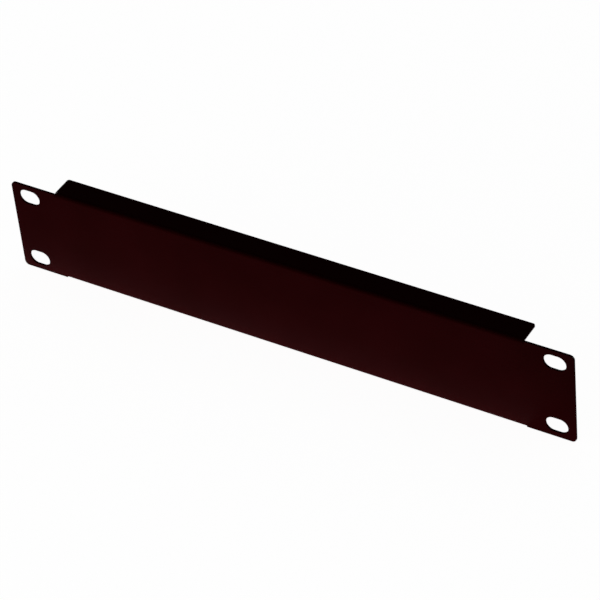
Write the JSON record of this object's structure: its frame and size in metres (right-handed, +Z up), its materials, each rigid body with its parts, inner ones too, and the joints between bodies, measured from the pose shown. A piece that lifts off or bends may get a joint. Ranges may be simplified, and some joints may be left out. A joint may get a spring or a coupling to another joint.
{
  "type": "rack blanking panel",
  "caption": "Folded sheet-metal blanking panel with a plain front, slotted mounting ears and shallow rear flanges, for closing unused space in a half-width equipment rack.",
  "frame": {"origin": "middle of the four rack slots, on the rear face of the sheet, which lies against the rack's rails", "axes": "+X along the panel from the left ear to the right one as seen from the front, +Y backwards into the rack, so that the plain front faces -Y, and +Z up"},
  "size_m": [0.2528, 0.0106, 0.0444],
  "materials": {
    "powder_coat": "satin powder coat, a near-black dark oxblood, with a fine orange-peel texture"
  },
  "bodies": {
    "root": {"panel": "powder_coat"}
  },
  "joints": []
}
